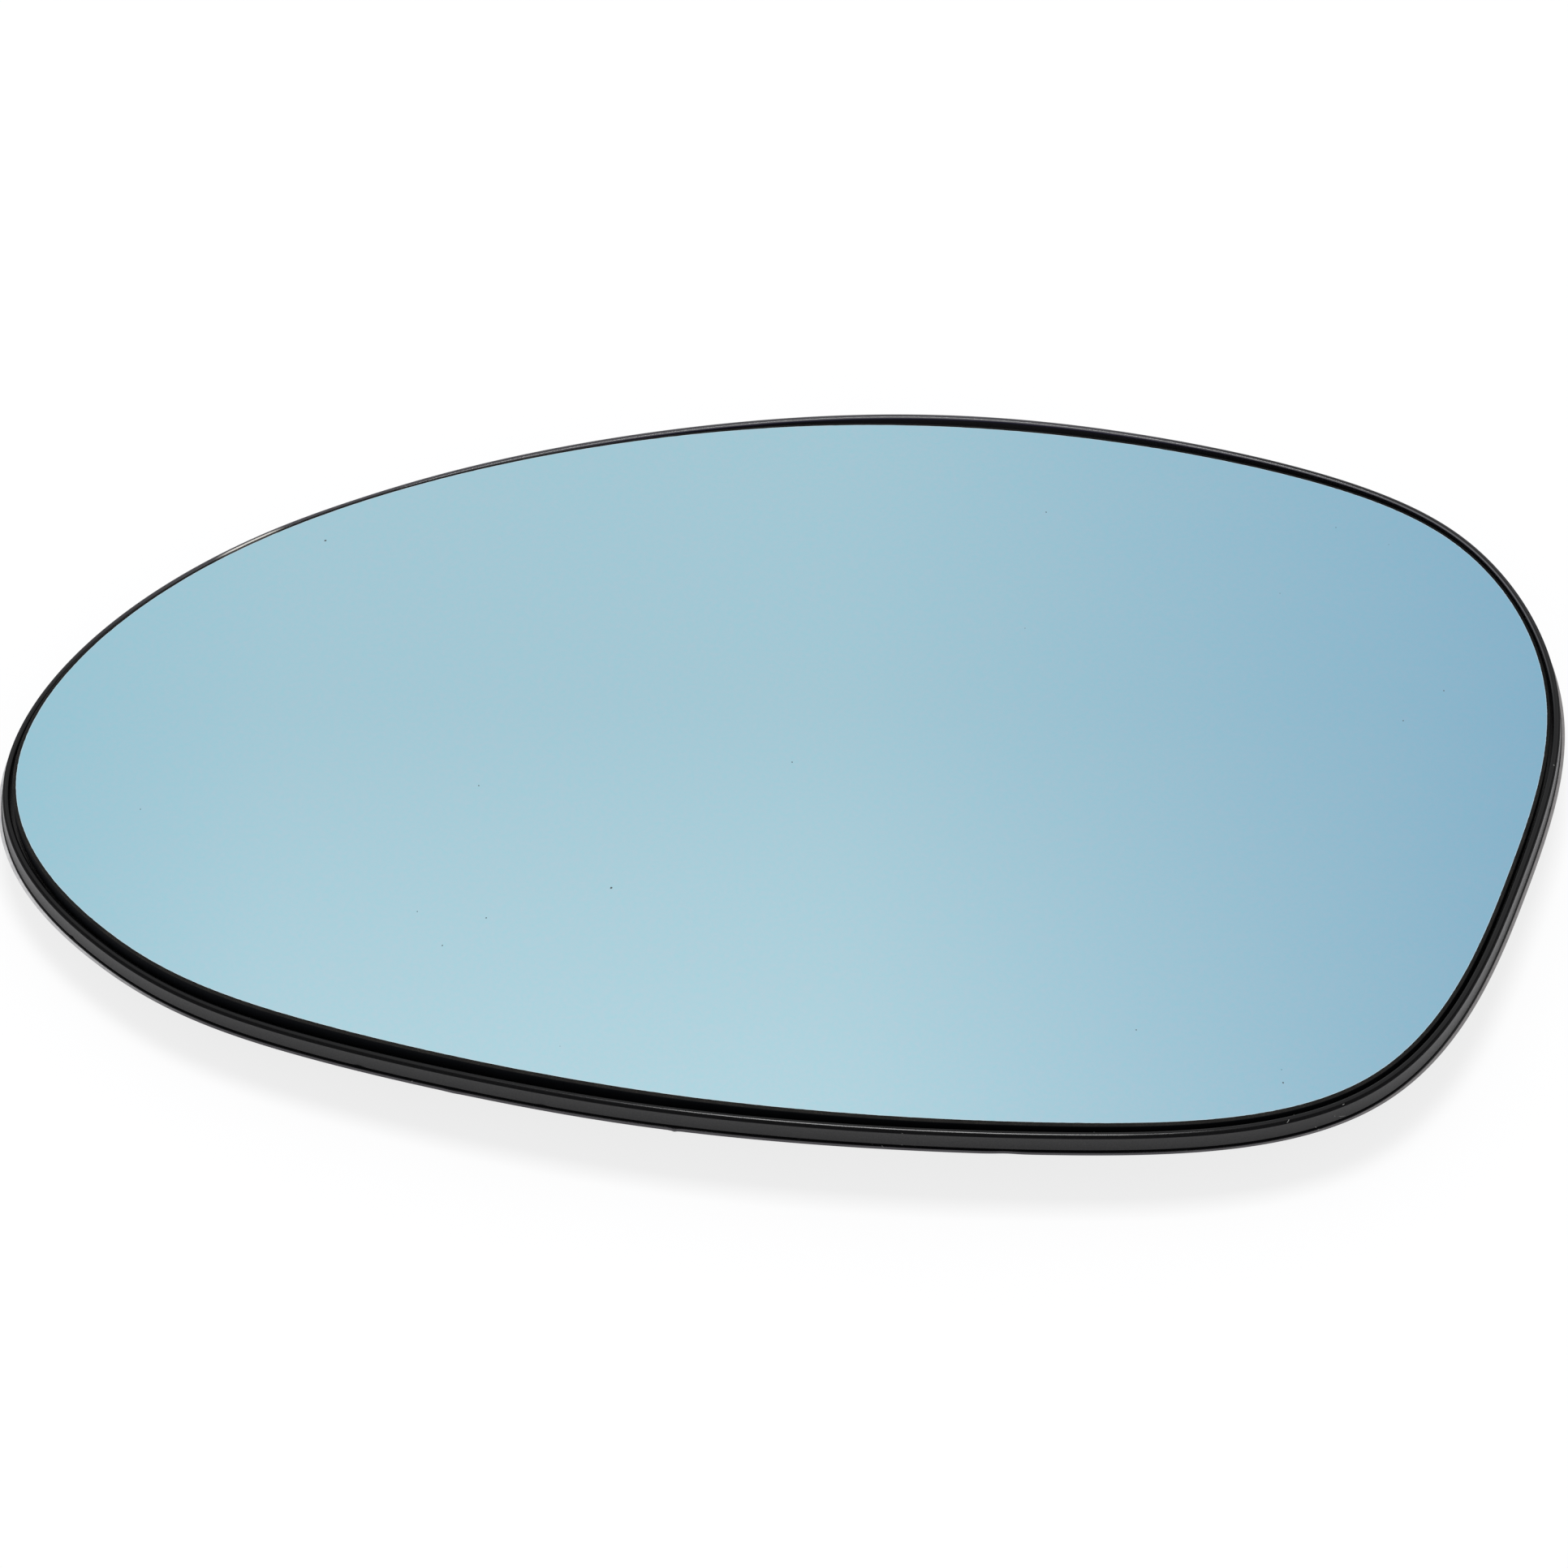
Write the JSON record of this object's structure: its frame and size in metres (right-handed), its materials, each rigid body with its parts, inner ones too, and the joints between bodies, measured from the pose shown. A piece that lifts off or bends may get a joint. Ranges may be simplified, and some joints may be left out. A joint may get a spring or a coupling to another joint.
{
  "type": "door mirror glass",
  "caption": "Convex tinted door mirror glass bonded into a black moulded carrier with a raised lip, and a round slotted clip collar and heater terminals on its back.",
  "frame": {"origin": "centre of the clip collar's free end, on the plane that the part stands on with its mirror up", "axes": "+Z out of the mirror face, +X to the broad inner end, +Y to the upper long edge, which is the far edge in the picture"},
  "size_m": [0.1765, 0.107, 0.0138],
  "materials": {
    "mirror": "blue tinted, polished, ground edge",
    "heater_mat": "matt printed film with adhesive",
    "carrier_plastic": "black, satin moulded",
    "terminal_metal": "tinned, dull",
    "rivet_metal": "plain, dull"
  },
  "bodies": {
    "root": {"mirror_glass": "mirror", "heater_mat": "heater_mat", "carrier": "carrier_plastic", "terminal_upper": "terminal_metal", "terminal_lower": "terminal_metal", "rivet_upper": "rivet_metal", "rivet_lower": "rivet_metal"}
  },
  "joints": []
}
